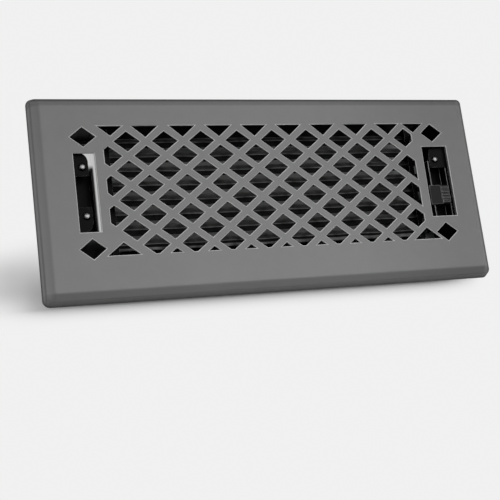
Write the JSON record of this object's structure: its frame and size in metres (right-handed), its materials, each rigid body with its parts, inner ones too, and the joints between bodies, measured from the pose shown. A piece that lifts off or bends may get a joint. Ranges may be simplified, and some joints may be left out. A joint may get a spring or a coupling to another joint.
{
  "type": "floor register",
  "caption": "Pressed-steel floor register: a pierced diamond-lattice face with a bevelled rim over a damper box whose linked louvres are worked by a thumb lever in an end slot.",
  "frame": {"origin": "under the middle of the face plate, at the lower edge of the damper box", "axes": "+X along the register towards the lever end, +Z out of the floor, through the face"},
  "size_m": [0.345, 0.1462, 0.038],
  "materials": {
    "face_paint": "satin dark grey powder coat",
    "box_paint": "satin black dip paint",
    "blade_paint": "satin dark grey paint",
    "rivet_steel": "bright steel",
    "lever_plastic": "moulded, fine grain"
  },
  "bodies": {
    "register": {"face_plate": "face_paint", "long_wall_back": "box_paint", "long_wall_front": "box_paint", "seat_strip": "box_paint", "end_plate_left": "box_paint", "end_plate_right": "box_paint", "end_wall_left": "box_paint", "end_wall_right": "box_paint", "bracket_left": "box_paint", "bracket_right": "box_paint", "ear_rivets_left": "rivet_steel", "ear_rivet_right": "rivet_steel"},
    "lever": {"slide_bar": "box_paint", "thumb_lever": "lever_plastic", "lever_rivets": "rivet_steel"},
    "blade_1": {"louvre_1": "blade_paint", "crank_1": "lever_plastic"},
    "blade_2": {"louvre_2": "blade_paint", "crank_2": "lever_plastic"},
    "blade_3": {"louvre_3": "blade_paint", "crank_3": "lever_plastic"},
    "blade_4": {"louvre_4": "blade_paint", "crank_4": "lever_plastic"},
    "blade_5": {"louvre_5": "blade_paint", "crank_5": "lever_plastic"},
    "blade_6": {"louvre_6": "blade_paint", "crank_6": "lever_plastic"},
    "blade_7": {"louvre_7": "blade_paint", "crank_7": "lever_plastic"},
    "blade_8": {"louvre_8": "blade_paint", "crank_8": "lever_plastic"}
  },
  "joints": [
    {"name": "lever_slide", "type": "slide", "parent": "register", "child": "lever", "axis": [0, 1, 0], "range_m": [-0.00367, 0.00656]},
    {"name": "blade_1_pivot", "type": "hinge", "parent": "register", "child": "blade_1", "pos_m": [0, 0.04317, 0.0223], "axis": [-1, 0, 0], "range_deg": [-28, 50]},
    {"name": "blade_2_pivot", "type": "hinge", "parent": "register", "child": "blade_2", "pos_m": [0, 0.03255, 0.0223], "axis": [-1, 0, 0], "range_deg": [-28, 50]},
    {"name": "blade_3_pivot", "type": "hinge", "parent": "register", "child": "blade_3", "pos_m": [0, 0.02193, 0.0223], "axis": [-1, 0, 0], "range_deg": [-28, 50]},
    {"name": "blade_4_pivot", "type": "hinge", "parent": "register", "child": "blade_4", "pos_m": [0, 0.01131, 0.0223], "axis": [-1, 0, 0], "range_deg": [-28, 50]},
    {"name": "blade_5_pivot", "type": "hinge", "parent": "register", "child": "blade_5", "pos_m": [0, 0.00069, 0.0223], "axis": [-1, 0, 0], "range_deg": [-28, 50]},
    {"name": "blade_6_pivot", "type": "hinge", "parent": "register", "child": "blade_6", "pos_m": [0, -0.00993, 0.0223], "axis": [-1, 0, 0], "range_deg": [-28, 50]},
    {"name": "blade_7_pivot", "type": "hinge", "parent": "register", "child": "blade_7", "pos_m": [0, -0.02055, 0.0223], "axis": [-1, 0, 0], "range_deg": [-28, 50]},
    {"name": "blade_8_pivot", "type": "hinge", "parent": "register", "child": "blade_8", "pos_m": [0, -0.03117, 0.0223], "axis": [-1, 0, 0], "range_deg": [-28, 50]}
  ],
  "couplings": [
    {"joint": "blade_1_pivot", "follows": "lever_slide", "rad_per_m": 132.98},
    {"joint": "blade_2_pivot", "follows": "lever_slide", "rad_per_m": 132.98},
    {"joint": "blade_3_pivot", "follows": "lever_slide", "rad_per_m": 132.98},
    {"joint": "blade_4_pivot", "follows": "lever_slide", "rad_per_m": 132.98},
    {"joint": "blade_5_pivot", "follows": "lever_slide", "rad_per_m": 132.98},
    {"joint": "blade_6_pivot", "follows": "lever_slide", "rad_per_m": 132.98},
    {"joint": "blade_7_pivot", "follows": "lever_slide", "rad_per_m": 132.98},
    {"joint": "blade_8_pivot", "follows": "lever_slide", "rad_per_m": 132.98}
  ]
}
